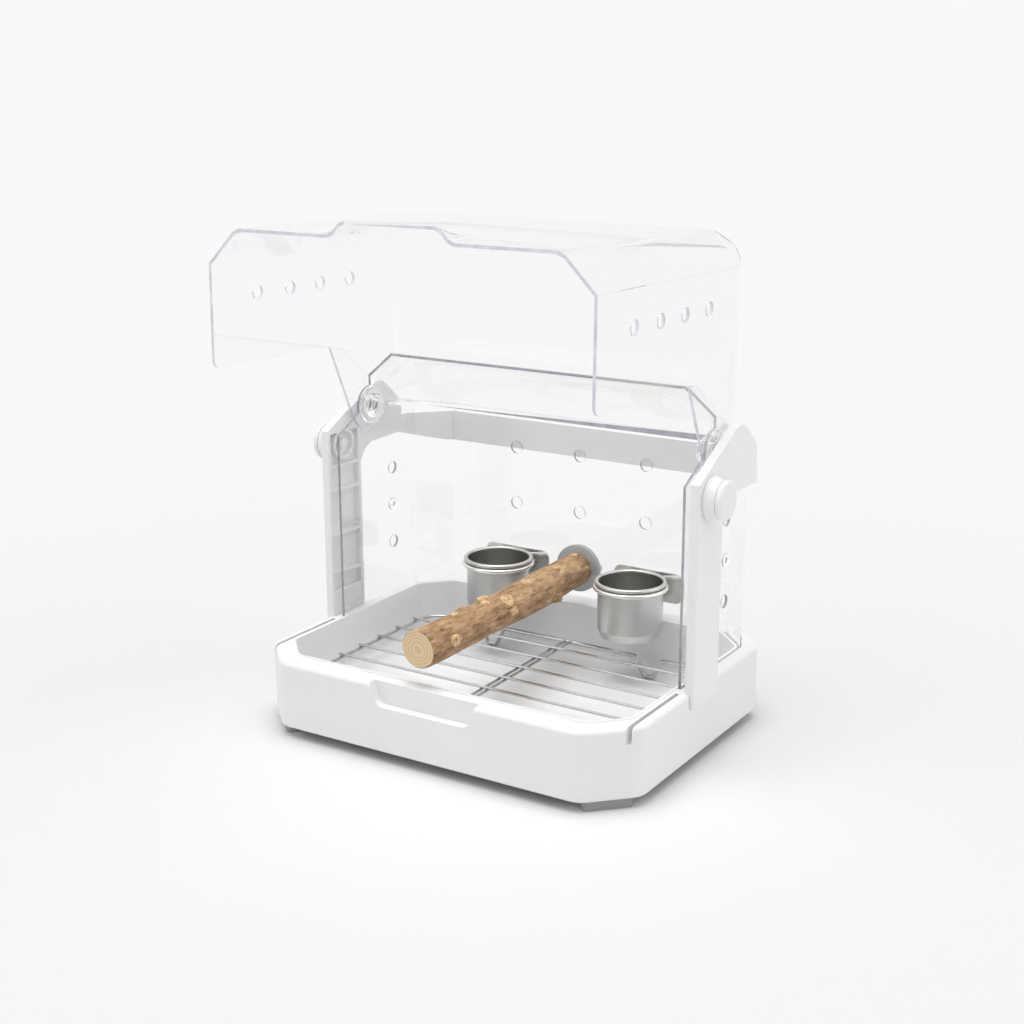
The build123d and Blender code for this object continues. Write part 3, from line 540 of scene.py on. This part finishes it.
def broken_stub(part, turn):
    """A short broken twig under the branch, with a ragged end."""
    turn = math.radians(turn)
    out = Vector((math.cos(turn), 0.25, math.sin(turn))).normalized()
    side = out.cross(Vector((0, 1, 0))).normalized()
    along = side.cross(out)
    foot = branch_frame(part) + out * (branch_radius(part, turn) - 0.004)
    bpy.ops.mesh.primitive_ico_sphere_add(subdivisions=4, radius=1)
    piece = bpy.context.active_object
    for point in piece.data.vertices:
        x, y, z = point.co
        lump = 1 + 0.3 * noise.noise(Vector((x, y, z)) * 2.2)
        top = 1.25 * z + 0.5 * max(0, z) * noise.noise(Vector((x * 4, y * 4, 3)))
        point.co = foot + STUB_SIZE * (lump * (1.5 * x * along + y * side) + top * out)
    piece.data.materials.append(BARK)
    settle(piece, "broken_twig")
    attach(piece, "base")


branch()
broken_stub(*STUB)
for index, values in enumerate(BUDS):
    bud(index + 1, *values)

# Floor, light and camera


def studio():
    bpy.ops.mesh.primitive_plane_add(size=12, location=(0, 0, 0))
    floor = bpy.context.active_object
    floor.name = "studio_floor"
    made, tree, shader = plain_material("studio_floor", (0.77, 0.77, 0.77), 0.9)
    reach = tree.nodes.new("ShaderNodeVectorMath")
    reach.operation = "LENGTH"
    tree.links.new(object_place(tree), reach.inputs[0])
    far = tree.nodes.new("ShaderNodeMapRange")
    far.inputs["From Min"].default_value = FLOOR_NEAR
    far.inputs["From Max"].default_value = FLOOR_FAR
    tree.links.new(reach.outputs["Value"], far.inputs["Value"])
    glow = tree.nodes.new("ShaderNodeEmission")
    glow.inputs["Color"].default_value = SEEN
    blend = tree.nodes.new("ShaderNodeMixShader")
    tree.links.new(far.outputs["Result"], blend.inputs["Fac"])
    tree.links.new(shader.outputs["BSDF"], blend.inputs[1])
    tree.links.new(glow.outputs["Emission"], blend.inputs[2])
    tree.links.new(blend.outputs["Shader"], tree.nodes["Material Output"].inputs["Surface"])
    floor.data.materials.append(made)

    world = bpy.data.worlds.new("studio")
    bpy.context.scene.world = world
    world.use_nodes = True
    tree = world.node_tree
    soft = tree.nodes["Background"]
    soft.inputs["Color"].default_value = (1, 1, 1, 1)
    soft.inputs["Strength"].default_value = ROOM_LIGHT
    seen = tree.nodes.new("ShaderNodeBackground")
    seen.inputs["Color"].default_value = SEEN
    mirrored = tree.nodes.new("ShaderNodeBackground")
    path = tree.nodes.new("ShaderNodeLightPath")
    toward = tree.nodes.new("ShaderNodeVectorMath")
    toward.operation = "DOT_PRODUCT"
    toward.inputs[1].default_value = DARK_SIDE
    tree.links.new(tree.nodes.new("ShaderNodeTexCoord").outputs["Generated"], toward.inputs[0])
    room = ramp(tree, toward.outputs["Value"], [(0.45, (0.94, 0.94, 0.94)), (0.8, (0.55, 0.55, 0.55)),
                                                (1.0, (0.3, 0.3, 0.3))])
    tree.links.new(room, mirrored.inputs["Color"])
    inside = math_node(tree, "GREATER_THAN", path.outputs["Transmission Depth"], 0.5)
    inside = math_node(tree, "MULTIPLY", inside, path.outputs["Is Glossy Ray"])
    either = math_node(tree, "MAXIMUM", path.outputs["Is Camera Ray"], path.outputs["Is Transmission Ray"])
    either = math_node(tree, "MAXIMUM", either, inside)
    first = tree.nodes.new("ShaderNodeMixShader")
    tree.links.new(path.outputs["Is Glossy Ray"], first.inputs["Fac"])
    tree.links.new(soft.outputs["Background"], first.inputs[1])
    tree.links.new(mirrored.outputs["Background"], first.inputs[2])
    blend = tree.nodes.new("ShaderNodeMixShader")
    tree.links.new(either, blend.inputs["Fac"])
    tree.links.new(first.outputs["Shader"], blend.inputs[1])
    tree.links.new(seen.outputs["Background"], blend.inputs[2])
    tree.links.new(blend.outputs["Shader"], tree.nodes["World Output"].inputs["Surface"])

    for name, aim, power, spread in LAMPS:
        lamp = bpy.data.lights.new(name, "SUN")
        lamp.energy = power
        lamp.angle = math.radians(spread)
        lit = bpy.data.objects.new(name, lamp)
        lit.rotation_euler = Vector(aim).to_track_quat("Z", "Y").to_euler()
        bpy.context.scene.collection.objects.link(lit)

    turn, lift, roll = (math.radians(a) for a in CAMERA_TURN)
    back = Vector((math.sin(turn) * math.cos(lift), -math.cos(turn) * math.cos(lift), math.sin(lift)))
    right = Vector((math.cos(turn), math.sin(turn), 0))
    up = back.cross(right)
    across = math.cos(roll) * right + math.sin(roll) * up
    upward = -math.sin(roll) * right + math.cos(roll) * up
    lens = bpy.data.cameras.new("photo_camera")
    lens.lens = CAMERA_LENS
    lens.sensor_width = 36
    camera = bpy.data.objects.new("photo_camera", lens)
    place = Matrix((across, upward, back)).transposed().to_4x4()
    place.translation = CAMERA_PLACE
    camera.matrix_world = place
    bpy.context.scene.collection.objects.link(camera)
    bpy.context.scene.camera = camera
    bpy.context.scene.view_settings.view_transform = "Standard"
    bpy.context.scene.cycles.max_bounces = 24
    bpy.context.scene.cycles.glossy_bounces = 12
    bpy.context.scene.cycles.transmission_bounces = 20
    bpy.context.scene.cycles.transparent_max_bounces = 24


nothing_selected()
studio()

bpy.context.view_layer.update()
